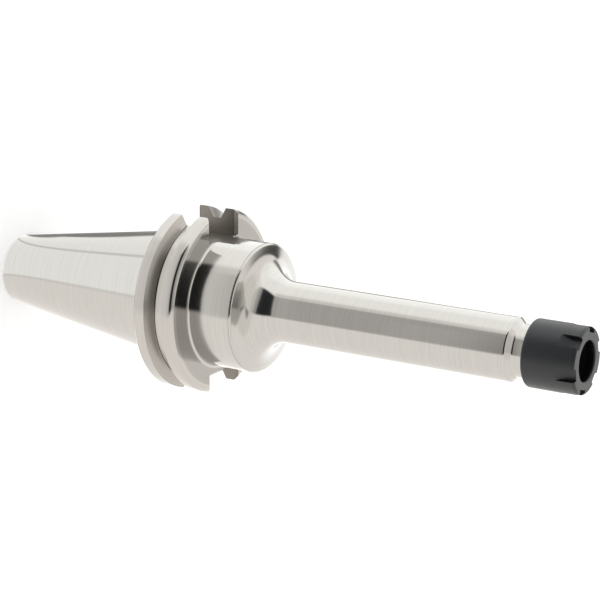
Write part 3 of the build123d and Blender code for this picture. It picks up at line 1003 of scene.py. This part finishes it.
def tent_glow(azimuth, elevation):
    """Brightness of the tent in each direction: paper, covered panel by panel. A panel's share is the
    product, over its sides, of a smooth step in the distance to that side."""
    glow = np.ones((*azimuth.shape, 3)) * linear(TENT_PAPER)
    for _, corners, soft, colour in TENT_PANELS:
        middle = sum(x for x, _ in corners) / len(corners)
        around = middle + (azimuth - middle + 180) % 360 - 180
        share = np.ones_like(around)
        for (x0, y0), (x1, y1) in zip(corners, corners[1:] + corners[:1]):
            inside = (x1 - x0) * (elevation - y0) - (y1 - y0) * (around - x0)
            step = np.clip(inside / math.hypot(x1 - x0, y1 - y0) / soft + 0.5, 0, 1)
            share = share * step * step * (3 - 2 * step)
        glow = glow + share[..., None] * (np.array(linear(colour)) - glow)
    return glow


def glowing_sheet(name, grid, azimuth, elevation):
    """A lit sheet of paper that only reflections see, from a grid of points and the direction in which
    each is seen. It is part of the stage and lights nothing else."""
    n, m = azimuth.shape
    index = np.arange(n * m).reshape(n, m)
    quads = np.stack([index[:-1, :-1], index[1:, :-1], index[1:, 1:], index[:-1, 1:]], -1).reshape(-1, 4)
    mesh = bpy.data.meshes.new(name)
    mesh.from_pydata(grid.reshape(-1, 3).tolist(), [], quads.tolist())
    glow = np.ones((n, m, 4), np.float32)
    glow[..., :3] = tent_glow(azimuth, elevation)
    mesh.color_attributes.new("glow", "FLOAT_COLOR", "POINT").data.foreach_set("color", glow.ravel())
    material = bpy.data.materials.new(name + "_paper")
    material.use_nodes = True
    tree = material.node_tree
    tree.nodes.clear()
    colour = add(tree, "ShaderNodeAttribute", attribute_name="glow")
    light = add(tree, "ShaderNodeEmission", {"Color": colour.outputs["Color"], "Strength": TENT_STRENGTH})
    add(tree, "ShaderNodeOutputMaterial", {"Surface": light.outputs[0]})
    mesh.materials.append(material)
    sheet = placed(name, mesh)
    sheet.visible_camera = sheet.visible_diffuse = sheet.visible_shadow = False


def make_tent():
    """The tent's dome, whose points are its radius times the cosines and sines of azimuth and
    elevation, and its ground sheet: rings round the axis, whose elevation is that of a look down at
    them from the eye's height over the floor, the arc tangent of that height over the distance."""
    around = np.linspace(-180, 180, DOME_COLUMNS)
    azimuth, elevation = np.meshgrid(around, np.linspace(-90, 90, DOME_ROWS))
    a, e = np.radians(azimuth), np.radians(elevation)
    dome = TENT_RADIUS * np.stack([np.cos(a) * np.cos(e), np.sin(a) * np.cos(e), np.sin(e)], -1)
    glowing_sheet("light_tent_dome", dome, azimuth, elevation)
    azimuth, distance = np.meshgrid(around, np.geomspace(GROUND_NEAR, GROUND_FAR, GROUND_ROWS))
    a, level = np.radians(azimuth), CAD_BOX[0][2]
    ground = np.stack([distance * np.cos(a), distance * np.sin(a), np.full_like(a, level)], -1)
    glowing_sheet("light_tent_ground", ground, azimuth, -np.degrees(np.arctan(TENT_EYE / distance)))


def make_camera(context, stage):
    """The camera at the picture's place: its axes are the picture's right, up and back."""
    data = bpy.data.cameras.new("camera")
    data.lens, data.sensor_width = stage.lens, stage.sensor
    data.clip_start, data.clip_end = 0.01, 20.0
    camera = placed("camera", data)
    right = Vector(stage.camera_right).normalized()
    up = Vector(stage.camera_up)
    up = (up - right * up.dot(right)).normalized()
    turn = Matrix((right, up, right.cross(up))).transposed()
    camera.matrix_world = Matrix.Translation(stage.camera_place) @ turn.to_4x4()
    context.scene.camera = camera
    context.scene.view_settings.view_transform = "Standard"


class HOLDER_PT_panel(bpy.types.Panel):
    """Lists the holder's pieces and its stage"""
    bl_idname = "HOLDER_PT_panel"
    bl_label = "Collet Chuck Holder"
    bl_space_type = "VIEW_3D"
    bl_region_type = "UI"
    bl_category = "Holder"

    def draw(self, context):
        for operator in OPERATORS:
            self.layout.operator(operator.bl_idname)


GROUPS = {"holder_sizes": HolderSizes, "nut_sizes": NutSizes, "screw_sizes": ScrewSizes,
          "holder_finishes": Finishes, "holder_stage": StageLook}
OPERATORS = (HOLDER_OT_body, HOLDER_OT_nut, HOLDER_OT_screw, HOLDER_OT_stage)


def register():
    """Register the classes, and hang each group of values on the scene."""
    for name, group in GROUPS.items():
        bpy.utils.register_class(group)
        setattr(bpy.types.Scene, name, bpy.props.PointerProperty(type=group))
    for kind in (*OPERATORS, HOLDER_PT_panel):
        bpy.utils.register_class(kind)


def unregister():
    """Take back all that register does, in the opposite order."""
    for kind in (HOLDER_PT_panel, *reversed(OPERATORS)):
        bpy.utils.unregister_class(kind)
    for name, group in reversed(GROUPS.items()):
        delattr(bpy.types.Scene, name)
        bpy.utils.unregister_class(group)


def main():
    """Build the holder and its stage."""
    register()
    bpy.ops.collet_holder.body()
    bpy.ops.collet_holder.nut()
    bpy.ops.collet_holder.screw()
    bpy.ops.collet_holder.stage()


if __name__ == "__main__":
    main()
